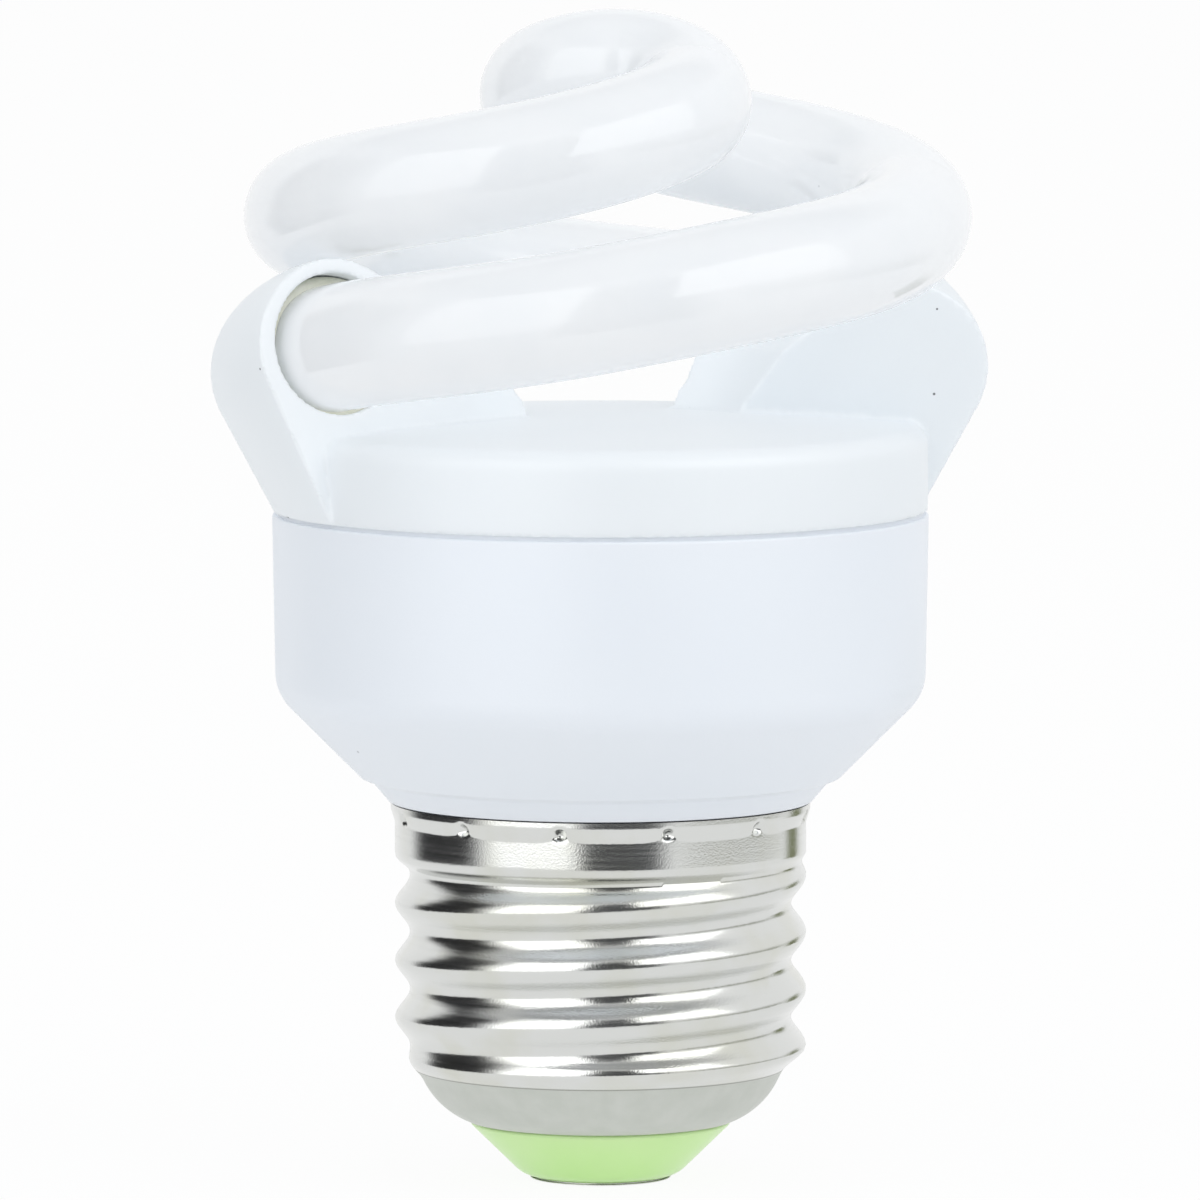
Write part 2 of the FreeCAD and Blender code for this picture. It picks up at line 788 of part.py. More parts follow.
def resistors():
    """The axial resistors."""
    along = V(1, 0, 0)
    return Part.makeCompound([axial_part(place, along, resistor_radius, resistor_length, resistor_lead_radius)
                              for place in resistor_places])


def film_capacitors():
    """Three dipped film capacitors with rounded edges."""
    pieces = []
    for place in film_places:
        pillow = block(film_size, place, board_height - film_size[2])
        uprights = [e for e in pillow.Edges if abs(e.BoundBox.ZLength - film_size[2]) < edge_tolerance]
        pieces.append(pillow.makeFillet(film_round, uprights))
    return Part.makeCompound(pieces)


def filter_core():
    """The drum core of the input filter coil."""
    bottom = board_height - filter_tall
    drum = cylinder(filter_core_radius, bottom, board_height, filter_place)
    for flange_bottom in (bottom, board_height - filter_flange):
        flange_top = flange_bottom + filter_flange
        drum = drum.fuse(cylinder(filter_flange_radius, flange_bottom, flange_top, filter_place))
    return drum.removeSplitter()


def filter_winding():
    """The winding between the drum's flanges."""
    bottom = board_height - filter_tall + filter_flange
    top = board_height - filter_flange
    coil = cylinder(filter_winding_radius, bottom, top, filter_place)
    return coil.cut(cylinder(filter_core_radius, bottom, top, filter_place))


def fuse_resistor():
    """The fusible resistor in the neck, hung from the board by its upper lead."""
    top = fuse_bottom + fuse_length
    body = turned([(0, fuse_bottom, 0), (fuse_radius, fuse_bottom, fuse_edge_round),
                   (fuse_radius, top, fuse_edge_round), (0, top, 0)])
    body.translate(V(fuse_place[0], fuse_place[1], 0))
    return body.fuse(cylinder(fuse_lead_radius, top, board_height, fuse_place)).removeSplitter()


def contact_lead():
    """The wire from the fusible resistor to the centre contact."""
    start = V(fuse_place[0], fuse_place[1], fuse_bottom)
    drop = (fuse_bottom - stem_top) / 3
    points = [start, start - AXIS * drop, AXIS * (stem_top + drop), AXIS * stem_top]
    return bent_bar(points, lead_radius, drop / 2)


def shell_lead():
    """The wire from the board, under the neck's end, to the inside of the screw shell."""
    place = V(shell_lead_place[0], shell_lead_place[1], 0)
    outward = V(place).normalize()
    level = neck_bottom - shell_lead_drop
    reach = thread_root_radius - shell_wall - fit_clearance
    points = [place + AXIS * board_height, place + AXIS * level, outward * reach + AXIS * level]
    return bent_bar(points, lead_radius, 2 * lead_radius)


def post_place(angle):
    """Where a wrap post stands on the board."""
    return polar(post_circle_radius, angle, 0)


def wrap_posts():
    """Four square posts that the tube's leads are wrapped on."""
    top = board_height + board_thickness
    posts = [block((post_width, post_width, post_tall), post_place(angle), top) for angle in post_angles]
    return Part.makeCompound(posts + [half_turn(post) for post in posts])


def filament_leads():
    """Four wires from the sealed tube ends down to the posts."""
    before = strand_point(tube_end_angle - 1, 1)
    ahead = strand_point(tube_end_angle + 1, 1)
    backward = before.sub(ahead).normalize()
    centre = strand_point(tube_end_angle, 1) + backward * fit_clearance
    outward = polar(1, tube_end_angle, 0)
    post_top = AXIS * (board_height + board_thickness + post_tall)
    bend = 3 * filament_lead_radius
    leads = []
    for angle, side in zip(post_angles, (1, -1)):
        start = centre + outward * (side * filament_spread)
        end = post_place(angle) + post_top
        points = [start, start + backward * (2 * bend), end + AXIS * (2 * bend), end]
        leads.append(bent_bar(points, filament_lead_radius, bend))
    return Part.makeCompound(leads + [half_turn(lead) for lead in leads])


def tube_cement(tube):
    """The beds of cement that hold both tube ends in their hoods."""
    wedge = Part.makeCylinder(2 * coil_radius, plate_crown, V(0, 0, cement_bottom), AXIS,
                              cement_angles[1] - cement_angles[0])
    wedge.rotate(ORIGIN, AXIS, cement_angles[0])
    bed = hood_cavity().common(wedge)
    return Part.makeCompound([bed.cut(tube), half_turn(bed).cut(tube)])


def main():
    os.makedirs("parts", exist_ok=True)
    tube = spiral_tube()
    pieces = {
        "spiral_tube": tube,
        "tube_holder": tube_holder(),
        "lower_housing": lower_housing(),
        "screw_shell": screw_shell(),
        "cap_insulator": cap_insulator(),
        "centre_contact": centre_contact(),
        "circuit_board": circuit_board(),
        "bulk_capacitor": bulk_capacitor(),
        "choke_core": choke_core(),
        "choke_bobbin": choke_bobbin(),
        "choke_winding": choke_winding(),
        "drive_toroid": drive_toroid(),
        "toroid_windings": toroid_windings(),
        "transistors": transistors(),
        "bridge_diodes": bridge_diodes(),
        "trigger_diode": trigger_diode(),
        "film_capacitors": film_capacitors(),
        "filter_core": filter_core(),
        "filter_winding": filter_winding(),
        "resistors": resistors(),
        "fuse_resistor": fuse_resistor(),
        "contact_lead": contact_lead(),
        "shell_lead": shell_lead(),
        "wrap_posts": wrap_posts(),
        "filament_leads": filament_leads(),
        "tube_cement": tube_cement(tube),
    }
    for name, shape in pieces.items():
        shape.exportStep(os.path.join("parts", name + ".step"))
        box = shape.BoundBox
        print(f"{name}: {len(shape.Solids)} solid(s), {shape.Volume:.1f} mm3, "
              f"z {box.ZMin:.2f} to {box.ZMax:.2f}, valid {shape.isValid()}")


main()
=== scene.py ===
# %% [markdown]
# # A spiral energy saving bulb
# The lamp stands on its centre contact: a green cone, a rolled screw cap, a white plastic case
# and a white glass tube that winds up as two spirals and crosses over at the top. The CAD frame
# gives every size. Here the outside pieces are modelled again with soft edges and real finishes,
# and the parts sealed in the case keep their CAD shape and get a finish of their own.

from math import cos, exp, hypot, pi, radians, sin, sqrt, tan

import bpy
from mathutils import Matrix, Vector


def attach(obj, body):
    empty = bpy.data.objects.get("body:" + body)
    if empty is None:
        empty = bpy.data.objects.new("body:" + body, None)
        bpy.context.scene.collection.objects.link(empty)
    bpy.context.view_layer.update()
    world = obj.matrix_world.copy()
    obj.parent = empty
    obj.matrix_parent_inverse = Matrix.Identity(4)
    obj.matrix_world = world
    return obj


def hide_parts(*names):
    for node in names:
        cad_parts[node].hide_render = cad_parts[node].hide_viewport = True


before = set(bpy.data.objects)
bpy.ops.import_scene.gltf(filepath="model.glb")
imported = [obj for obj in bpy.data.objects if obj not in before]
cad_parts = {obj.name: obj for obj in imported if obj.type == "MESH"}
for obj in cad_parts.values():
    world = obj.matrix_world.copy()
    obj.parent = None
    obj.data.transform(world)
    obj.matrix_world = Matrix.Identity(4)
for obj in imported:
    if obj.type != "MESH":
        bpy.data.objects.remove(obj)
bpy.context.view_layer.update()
MM = 0.001
print("CAD nodes:", len(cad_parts))

# %% [markdown]
# ## Camera
# The photograph was taken from the front, a little above the lamp and from far away, so that the
# perspective is weak. A long lens at the same distance and height gives the same outlines. It
# could be aimed with a constraint, but a direction turned into a rotation is simpler to read. The
# small shift puts the lamp where it sits in the picture.

# %% Camera
IMAGE = 1200
eye = Vector((0, -826, 115)) * MM
target = Vector((0, 0, 37)) * MM
pixels_per_mm = 15.85
target_pixel = (600.5, 595.0)

bpy.ops.object.select_all(action="DESELECT")
bpy.ops.object.camera_add(location=eye)
camera = bpy.context.object
camera.rotation_euler = (target - eye).to_track_quat("-Z", "Y").to_euler()
camera.data.sensor_width = 36
camera.data.lens = pixels_per_mm * (target - eye).length / MM / IMAGE * camera.data.sensor_width
camera.data.shift_x = (IMAGE / 2 - target_pixel[0]) / IMAGE
camera.data.shift_y = (target_pixel[1] - IMAGE / 2) / IMAGE
camera.data.clip_start = 0.05
camera.data.clip_end = 20
bpy.context.scene.camera = camera
bpy.context.scene.view_settings.view_transform = "Standard"
print("lens in mm:", round(camera.data.lens, 1))

# %% [markdown]
# ## Floor
# A light table is one wide white sheet under the lamp, with a faint glow of its own. A backdrop
# behind it would shut out half of the light, so the sheet only runs far back, and the white room
# stands behind it. The sheet is white to the camera and in reflections, and a small share of plain
# paper in it still takes the shadow.

# %% Helpers for shaders
def deselect():
    """Object mode with nothing selected, so that the next step touches only its own piece."""
    if bpy.context.object and bpy.context.object.mode != "OBJECT":
        bpy.ops.object.mode_set(mode="OBJECT")
    bpy.ops.object.select_all(action="DESELECT")


def add_node(material, kind, values=None, **settings):
    """A shader node with its settings and the values of its own sockets."""
    made = material.node_tree.nodes.new("ShaderNode" + kind)
    for name, value in settings.items():
        setattr(made, name, value)
    for socket, value in (values or {}).items():
        made.inputs[socket].default_value = value
    return made


def link(material, source, destination):
    """Joins the output of one node to the input of another."""
    material.node_tree.links.new(source, destination)


def bare_material(name):
    """A material with nothing in it but its output."""
    material = bpy.data.materials.new(name)
    material.use_nodes = True
    material.node_tree.nodes.clear()
    return material, add_node(material, "OutputMaterial").inputs["Surface"]


def mix_shaders(material, share, first, second):
    """One shader that turns into another as the share goes from 0 to 1."""
    mix = add_node(material, "MixShader")
    link(material, share, mix.inputs[0])
    link(material, first.outputs[0], mix.inputs[1])
    link(material, second.outputs[0], mix.inputs[2])
    return mix.outputs[0]


def light_seen_directly(material):
    """1 for camera, mirror and see-through rays, 0 for the light that falls on things."""
    path = add_node(material, "LightPath")
    first = add_node(material, "Math", operation="MAXIMUM")
    second = add_node(material, "Math", operation="MAXIMUM")
    link(material, path.outputs["Is Camera Ray"], first.inputs[0])
    link(material, path.outputs["Is Glossy Ray"], first.inputs[1])
    link(material, first.outputs[0], second.inputs[0])
    link(material, path.outputs["Is Transmission Ray"], second.inputs[1])
    return second.outputs[0]


print("materials that came with the frame:", len(bpy.data.materials))

# %% Floor
WHITE, PAPER_TONE = (1, 1, 1, 1), (0.94, 0.94, 0.94, 1)
PAPER_SEEN, PAPER_GLOW = 0.93, 0.25
TABLE_RADIUS = 4.0

paper, paper_surface = bare_material("white_paper")
paper_values = {1: PAPER_SEEN - PAPER_GLOW, 2: PAPER_GLOW}
paper_share = add_node(paper, "Math", paper_values, operation="MULTIPLY_ADD")
link(paper, light_seen_directly(paper), paper_share.inputs[0])
paper_matte = add_node(paper, "BsdfDiffuse", {"Color": PAPER_TONE})
paper_white = add_node(paper, "Emission", {"Color": WHITE, "Strength": 1.0})
link(paper, mix_shaders(paper, paper_share.outputs[0], paper_matte, paper_white), paper_surface)

deselect()
bpy.ops.mesh.primitive_circle_add(vertices=96, radius=TABLE_RADIUS, fill_type="NGON")
table = bpy.context.object
table.name = "light_table"
table.data.materials.append(paper)
print("table radius in m:", round(table.dimensions.x / 2, 2))

# %% [markdown]
# ## Studio light
# Two large soft boxes stand left and right of the camera, and the white room does the rest, so the
# shade stays pale. One strong lamp would be simpler, but its shade would be hard. The boxes only
# give light: what the glass and the cap mirror is set by the cards of the next step.

# %% Studio light
ROOM_FILL, ROOM_TINT = 0.77, (0.955, 0.975, 1.0, 1)
LAMP_MIDDLE = Vector((0, 0, 0.04))
SOFT_BOX_DISTANCE = 1.2

world = bpy.data.worlds.new("white_room")
bpy.context.scene.world = world
world.use_nodes = True
world.node_tree.nodes.clear()
room_out = add_node(world, "OutputWorld")
room_fill = add_node(world, "Background", {"Color": ROOM_TINT, "Strength": ROOM_FILL})
room_seen = add_node(world, "Background", {"Color": WHITE, "Strength": 1.0})
room = mix_shaders(world, light_seen_directly(world), room_fill, room_seen)
link(world, room, room_out.inputs["Surface"])


def around(azimuth, elevation, distance):
    """A place seen from the lamp: azimuth 0 is towards the camera and grows to the right."""
    a, e = radians(azimuth), radians(elevation)
    return LAMP_MIDDLE + Vector((sin(a) * cos(e), -cos(a) * cos(e), sin(e))) * distance


def soft_box(name, azimuth, elevation, width, height, power):
    """An area light aimed at the lamp, with its sizes in metres and its power in watts."""
    place = around(azimuth, elevation, SOFT_BOX_DISTANCE)
    deselect()
    bpy.ops.object.light_add(type="AREA", location=place)
    box = bpy.context.object
    box.name = name
    box.data.shape = "RECTANGLE"
    box.data.size = width
    box.data.size_y = height
    box.data.energy = power
    box.rotation_euler = (LAMP_MIDDLE - place).to_track_quat("-Z", "Y").to_euler()
    box.visible_camera = False
    box.visible_glossy = False


soft_box("soft_box_left", -40, 45, 1.1, 0.65, 1.9)
soft_box("soft_box_right", 50, 45, 1.2, 0.65, 2.8)

# %% [markdown]
# ## Reflection cards
# Glass and bright metal show whatever stands around them. So cards that only reflections see stand
# round the lamp, as in a studio: two bright ones make the paired long highlights on the glass, and
# dark ones give the cap its bands. The bands could be painted into the finishes, but they would then
# turn with the lamp.

# %% Helpers for cards
def card_finish(name, tone, fade_from):
    """An even tone that fades out from a share of the card's half width to its four edges."""
    finish, surface = bare_material(name)
    place = add_node(finish, "SeparateXYZ")
    link(finish, add_node(finish, "TexCoord").outputs["UV"], place.inputs[0])
    share = add_node(finish, "Math", operation="MULTIPLY")
    for index, axis in enumerate("XY"):
        centred = add_node(finish, "Math", {1: 2.0, 2: -1.0}, operation="MULTIPLY_ADD")
        link(finish, place.outputs[axis], centred.inputs[0])
        folded = add_node(finish, "Math", operation="ABSOLUTE")
        link(finish, centred.outputs[0], folded.inputs[0])
        fade = add_node(finish, "MapRange", {"From Min": 1.0, "From Max": fade_from})
        fade.interpolation_type = "SMOOTHSTEP"
        link(finish, folded.outputs[0], fade.inputs["Value"])
        link(finish, fade.outputs["Result"], share.inputs[index])
    glow = add_node(finish, "Emission", {"Color": (*tone, 1), "Strength": 1.0})
    clear = add_node(finish, "BsdfTransparent")
    link(finish, mix_shaders(finish, share.outputs[0], clear, glow), surface)
    return finish


def only_in_reflections(card, name, tone, fade_from):
    """Names and tones a card, and hides it from all but mirror rays."""
    card.name = name
    card.data.materials.append(card_finish(name, tone, fade_from))
    card.visible_camera = False
    card.visible_diffuse = False
    card.visible_shadow = False
    card.visible_transmission = False


def standing_card(name, azimuth, half_angle, distance, low, high, tone, fade_from):
    """An upright card close to the lamp, facing it, between two heights."""
    place = around(azimuth, 0, distance)
    place.z = (low + high) / 2
    deselect()
    bpy.ops.mesh.primitive_plane_add(size=1, location=place, rotation=(pi / 2, 0, radians(azimuth)))
    card = bpy.context.object
    card.scale = (2 * distance * tan(radians(half_angle)), high - low, 1)
    only_in_reflections(card, name, tone, fade_from)


# %% Reflection cards
SOFT_EDGE, CRISP_EDGE = 0.45, 0.88
BLACK, CHARCOAL = (0.03, 0.03, 0.032), (0.07, 0.072, 0.075)
GREY, OLIVE, BRIGHT = (0.40, 0.41, 0.36), (0.15, 0.17, 0.06), (1.9, 1.9, 1.9)
CEILING_TONE, CEILING_SIZE, CEILING_HEIGHT = (0.40, 0.41, 0.42), 1.3, 0.6

standing_card("card_dark_left", -96, 31, 0.22, -0.12, 0.30, BLACK, SOFT_EDGE)
standing_card("card_bright_left", -36, 27, 0.20, -0.09, 0.27, BRIGHT, CRISP_EDGE)
standing_card("card_dark_front", 10, 25, 0.22, -0.12, 0.30, CHARCOAL, SOFT_EDGE)
standing_card("card_bright_right", 46, 33, 0.20, 0.065, 0.27, BRIGHT, CRISP_EDGE)
standing_card("card_grey_right", 82, 46, 0.22, -0.12, 0.06, GREY, SOFT_EDGE)
standing_card("card_olive_right", 130, 10, 0.10, -0.03, 0.028, OLIVE, SOFT_EDGE)
standing_card("card_low_left", -95, 33, 0.10, -0.03, 0.05, BLACK, SOFT_EDGE)
standing_card("card_low_front", 11, 29, 0.10, -0.03, 0.05, CHARCOAL, SOFT_EDGE)
deselect()
bpy.ops.mesh.primitive_plane_add(size=CEILING_SIZE, location=(0, 0, CEILING_HEIGHT))
only_in_reflections(bpy.context.object, "grey_ceiling", CEILING_TONE, SOFT_EDGE)

# %% [markdown]
# ## Finishes of the outside
# Each finish is a Principled shader with colour, gloss and bump from its own nodes, on the piece's
# Object coordinates. Image textures would be quicker to paint, but procedural ones stay sharp at
# every distance. The helpers below each add one step: a place, a noise, a range, a mix or a bump.

# %% Helpers for finishes
COLOUR_A, COLOUR_B, COLOUR_OUT = 6, 7, 2
SPOT_CORE = 0.4


def new_finish(name, **sockets):
    """A material and its Principled shader, with the values that are the same all over."""
    finish = bpy.data.materials.new(name)
    finish.use_nodes = True
    shader = finish.node_tree.nodes["Principled BSDF"]
    for socket, value in sockets.items():
        shader.inputs[socket.replace("_", " ")].default_value = value
    return finish, shader


def place_on(finish, scale):
    """Object coordinates, scaled alike on every axis."""
    mapping = add_node(finish, "Mapping", {"Scale": (scale, scale, scale)})
    link(finish, add_node(finish, "TexCoord").outputs["Object"], mapping.inputs["Vector"])
    return mapping.outputs["Vector"]


def noise_on(finish, scale, detail=2.0):
    """A cloudy pattern from 0 to 1, with its scale in clouds per metre."""
    noise = add_node(finish, "TexNoise", {"Scale": 1.0, "Detail": detail})
    link(finish, place_on(finish, scale), noise.inputs["Vector"])
    return noise.outputs["Fac"]


def remap(finish, source, low, high, to_low=0.0, to_high=1.0):
    """Stretches the range from low to high over another one, and holds it there."""
    values = {"From Min": low, "From Max": high, "To Min": to_low, "To Max": to_high}
    made = add_node(finish, "MapRange", values)
    link(finish, source, made.inputs["Value"])
    return made.outputs["Result"]


def blend_colour(finish, share, first, second):
    """A mix of two colours, which may be colours or the output of an earlier mix."""
    mix = add_node(finish, "Mix", data_type="RGBA")
    link(finish, share, mix.inputs[0])
    for index, colour in ((COLOUR_A, first), (COLOUR_B, second)):
        if isinstance(colour, tuple):
            mix.inputs[index].default_value = (*colour, 1)
        else:
            link(finish, colour, mix.inputs[index])
    return mix.outputs[COLOUR_OUT]


def bump_from(finish, source, strength, distance, after=None):
    """A bump of the surface, on its own or on top of an earlier one."""
    bump = add_node(finish, "Bump", {"Strength": strength, "Distance": distance})
    link(finish, source, bump.inputs["Height"])
    if after:
        link(finish, after, bump.inputs["Normal"])
    return bump.outputs["Normal"]


def spot_at(finish, place, radius):
    """1 on a small soft-edged spot at a place in millimetres, 0 elsewhere."""
    distance = add_node(finish, "VectorMath", operation="DISTANCE")
    link(finish, add_node(finish, "TexCoord").outputs["Object"], distance.inputs[0])
    distance.inputs[1].default_value = Vector(place) * MM
    return remap(finish, distance.outputs["Value"], radius * MM, radius * MM * SPOT_CORE)


print("materials before the finishes:", len(bpy.data.materials))

# %% [markdown]
# ### White glass
# The tube is a white powder seen through a clear wall: light goes in, spreads and comes out again,
# also on the shaded side. A plain white would look like paint, so the base spreads light under its
# skin, and one smooth coat carries all the gloss. The powder is a little cloudy.

# %% White glass
POWDER_SHADE, POWDER_LIGHT = (0.865, 0.883, 0.90), (0.89, 0.905, 0.918)
POWDER_CLOUDS, GLASS_WAVES = 160, 90
SPECK_GREY = (0.42, 0.43, 0.45)
GLASS_SPECKS = [((13.9 + 0.07 * step, 5.29, 62.5 + 0.14 * step), 0.13) for step in range(4)]


def white_glass():
    """White powder under a clear, smooth coat, with a row of tiny specks."""
    finish, shader = new_finish("white_glass", Roughness=0.5, Specular_IOR_Level=0.0, Coat_Weight=1.0,
                                Coat_Roughness=0.04, Coat_IOR=1.52, Subsurface_Weight=0.7,
                                Subsurface_Radius=(1, 1, 1), Subsurface_Scale=2.5 * MM)
    powder = remap(finish, noise_on(finish, POWDER_CLOUDS, 3), 0.35, 0.65)
    colour = blend_colour(finish, powder, POWDER_SHADE, POWDER_LIGHT)
    for place, radius in GLASS_SPECKS:
        colour = blend_colour(finish, spot_at(finish, place, radius), colour, SPECK_GREY)
    link(finish, colour, shader.inputs["Base Color"])
    waves = bump_from(finish, noise_on(finish, GLASS_WAVES, 1), 0.05, 0.6 * MM)
    link(finish, waves, shader.inputs["Coat Normal"])
    return finish


glass_finish = white_glass()
print("glass nodes:", len(glass_finish.node_tree.nodes))

# %% [markdown]
# ### Moulded plastics
# Holder and case are satin plastic from two moulds, the case a little bluer. The real surface has a
# very fine grain from the mould and a few dark specks of burnt resin, so the specks sit at the
# places where this lamp has them. A glossy white would be simpler, but would mirror the cards.

# %% Moulded plastics
PLASTIC_CLOUDS, MOULD_GRAIN = 70, 5200
BURNT_RESIN = (0.10, 0.10, 0.11)


def moulded_plastic(name, light, shade, roughness, specks):
    """Satin plastic in two close whites, with a fine grain and specks at given places."""
    finish, shader = new_finish(name, IOR=1.46, Subsurface_Weight=0.25, Subsurface_Radius=(1, 1, 1),
                                Subsurface_Scale=1.2 * MM)
    cloud = remap(finish, noise_on(finish, PLASTIC_CLOUDS, 3), 0.3, 0.7)
    colour = blend_colour(finish, cloud, shade, light)
    for place, radius in specks:
        colour = blend_colour(finish, spot_at(finish, place, radius), colour, BURNT_RESIN)
    link(finish, colour, shader.inputs["Base Color"])
    grain = noise_on(finish, MOULD_GRAIN)
    satin = remap(finish, grain, 0.3, 0.7, roughness - 0.04, roughness + 0.06)
    link(finish, satin, shader.inputs["Roughness"])
    link(finish, bump_from(finish, grain, 0.05, 0.12 * MM), shader.inputs["Normal"])
    return finish


HOLDER_SPECKS = [((21.07, 2.14, 49.55), 0.11), ((21.22, 1.17, 55.0), 0.09),
                 ((-21.13, -12.39, 52.25), 0.10), ((0.0, 13.3, 48.21), 0.2),
                 ((0.9, 11.2, 48.33), 0.12), ((5.66, 3.3, 48.52), 0.1)]
CASE_SPECKS = [((-15.15, -8.94, 27.99), 0.10)]
HOLDER_WHITES = (0.872, 0.908, 0.936), (0.858, 0.897, 0.93)
CASE_WHITES = (0.855, 0.892, 0.945), (0.84, 0.88, 0.938)
holder_finish = moulded_plastic("holder_plastic", *HOLDER_WHITES, 0.40, HOLDER_SPECKS)
housing_finish = moulded_plastic("housing_plastic", *CASE_WHITES, 0.42, CASE_SPECKS)
print("specks on the plastics:", len(HOLDER_SPECKS) + len(CASE_SPECKS))

# %% [markdown]
# ### Metals and resin
# The cap's plating is bright but grainy, with faint lines round it from drawing and rolling. Its
# dome end was never polished, and a scored line parts the two. Lines that follow the sheet need the
# sheet's own UV map, while grain and stains sit in Object coordinates. The contact is tinned, and the
# cone is a pale green resin. Plain metal colours would do from afar, but not close up.

# %% Plated steel
PLATING, STAIN = (0.68, 0.69, 0.675), (0.63, 0.635, 0.575)
DOME_SHADE, DOME_LIGHT, SCORED = (0.555, 0.58, 0.54), (0.60, 0.62, 0.585), (0.33, 0.34, 0.31)
STAINS, DOME_CLOUDS, PLATING_GRAIN = 210, 700, 8500
DRAWN_LINES = (7, 110, 1)
DOME_DULL = (7.15, 6.95)
DOME_LINE, LINE_EDGE, LINE_CORE = 7.05, 0.07, 0.02
POLISH, DOME_ROUGHNESS = (0.14, 0.22), 0.48
FLOAT_A, FLOAT_B = 2, 3


def plated_steel():
    """Bright drawn plating above a height, dull clouded sheet below, and a scored line between."""
    finish, shader = new_finish("plated_steel", Metallic=1.0)
    coordinates = add_node(finish, "TexCoord")
    lines = add_node(finish, "Mapping", {"Scale": DRAWN_LINES})
    link(finish, coordinates.outputs["UV"], lines.inputs["Vector"])
    drawn = add_node(finish, "TexNoise", {"Scale": 1.0, "Detail": 3.0})
    link(finish, lines.outputs["Vector"], drawn.inputs["Vector"])
    height = add_node(finish, "SeparateXYZ")
    link(finish, coordinates.outputs["Object"], height.inputs["Vector"])
    dull = remap(finish, height.outputs["Z"], DOME_DULL[0] * MM, DOME_DULL[1] * MM)
    stain = remap(finish, noise_on(finish, STAINS, 3), 0.45, 0.75)
    colour = blend_colour(finish, stain, PLATING, STAIN)
    clouds = remap(finish, noise_on(finish, DOME_CLOUDS, 4), 0.3, 0.7)
    dome_colour = blend_colour(finish, clouds, DOME_SHADE, DOME_LIGHT)
    colour = blend_colour(finish, dull, colour, dome_colour)
    off_line = add_node(finish, "Math", {1: DOME_LINE * MM}, operation="SUBTRACT")
    link(finish, height.outputs["Z"], off_line.inputs[0])
    from_line = add_node(finish, "Math", operation="ABSOLUTE")
    link(finish, off_line.outputs[0], from_line.inputs[0])
    scored = remap(finish, from_line.outputs[0], LINE_EDGE * MM, LINE_CORE * MM)
    colour = blend_colour(finish, scored, colour, SCORED)
    link(finish, colour, shader.inputs["Base Color"])
    polished = remap(finish, drawn.outputs["Fac"], 0.3, 0.7, *POLISH)
    rough = add_node(finish, "Mix", {FLOAT_B: DOME_ROUGHNESS}, data_type="FLOAT")
    link(finish, dull, rough.inputs[0])
    link(finish, polished, rough.inputs[FLOAT_A])
    link(finish, rough.outputs[0], shader.inputs["Roughness"])
    fine = bump_from(finish, drawn.outputs["Fac"], 0.03, 0.05 * MM)
    grain = bump_from(finish, noise_on(finish, PLATING_GRAIN, 1), 0.12, 0.05 * MM, fine)
    link(finish, grain, shader.inputs["Normal"])
    return finish


cap_finish = plated_steel()
print("plating nodes:", len(cap_finish.node_tree.nodes))

# %% Tin and resin
TIN_SHADE, TIN_LIGHT = (0.62, 0.62, 0.60), (0.78, 0.78, 0.76)
TIN_CLOUDS, TIN_GRAIN = 900, 1500
GREEN_SHADE, GREEN_LIGHT = (0.665, 0.97, 0.42), (0.69, 0.98, 0.45)
RESIN_CLOUDS, RESIN_GRAIN = 300, 1400


def tinned_metal():
    """Dipped tin: bright and dull clouds on a slightly uneven skin."""
    finish, shader = new_finish("tinned_metal", Metallic=1.0)
    cloud = remap(finish, noise_on(finish, TIN_CLOUDS, 4), 0.3, 0.7)
    colour = blend_colour(finish, cloud, TIN_SHADE, TIN_LIGHT)
    link(finish, colour, shader.inputs["Base Color"])
    link(finish, remap(finish, cloud, 0, 1, 0.25, 0.42), shader.inputs["Roughness"])
    skin = bump_from(finish, noise_on(finish, TIN_GRAIN, 3), 0.12, 0.1 * MM)
    link(finish, skin, shader.inputs["Normal"])
    return finish


def green_resin():
    """Cast resin in two close greens that lets a little light in."""
    finish, shader = new_finish("green_resin", IOR=1.5, Roughness=0.28, Subsurface_Weight=0.3,
                                Subsurface_Radius=(1, 1, 1), Subsurface_Scale=1.5 * MM)
    cloud = remap(finish, noise_on(finish, RESIN_CLOUDS, 3), 0.3, 0.7)
    colour = blend_colour(finish, cloud, GREEN_SHADE, GREEN_LIGHT)
    link(finish, colour, shader.inputs["Base Color"])
    skin = bump_from(finish, noise_on(finish, RESIN_GRAIN), 0.08, 0.1 * MM)
    link(finish, skin, shader.inputs["Normal"])
    return finish


contact_finish = tinned_metal()
resin_finish = green_resin()
print("finishes:", [m.name for m in (glass_finish, cap_finish, contact_finish, resin_finish)])

# %% [markdown]
# ## The glass tube
# The real tube is one straight glass pipe, heated and wound on a mandrel from its middle, so two
# equal spirals run down from an S-shaped crossing. It could be an array of bent pieces, but a curve
# with a round bevel is how a pipe behaves: only its centre line has to be right. The line follows
# the same turns and rises as the CAD tube, and the curve is then made a mesh.

# %% Centre line of the tube
COIL, SWEEP_IN, LOBE = 19.0, 12.2, 4.75
CROWN = 48.6
TUBE_END, HOOD_MOUTH, CROSSING = 195.0, 211.0, 630.0
MOUTH_RISE = 4.8
RISES = ((159.0, 0.4), (185.0, 2.6), (HOOD_MOUTH, MOUTH_RISE), (270.0, 7.3), (360.0, 12.35),
         (450.0, 16.1), (540.0, 19.8), (CROSSING, 21.65), (720.0, 19.8))
DRIFT, TILT = 0.06, 0.039


def soft_step(value, low, high):
    """0 below low, 1 above high, and a soft change between them."""
    share = min(max((value - low) / (high - low), 0.0), 1.0)
    return share * share * (3 - 2 * share)


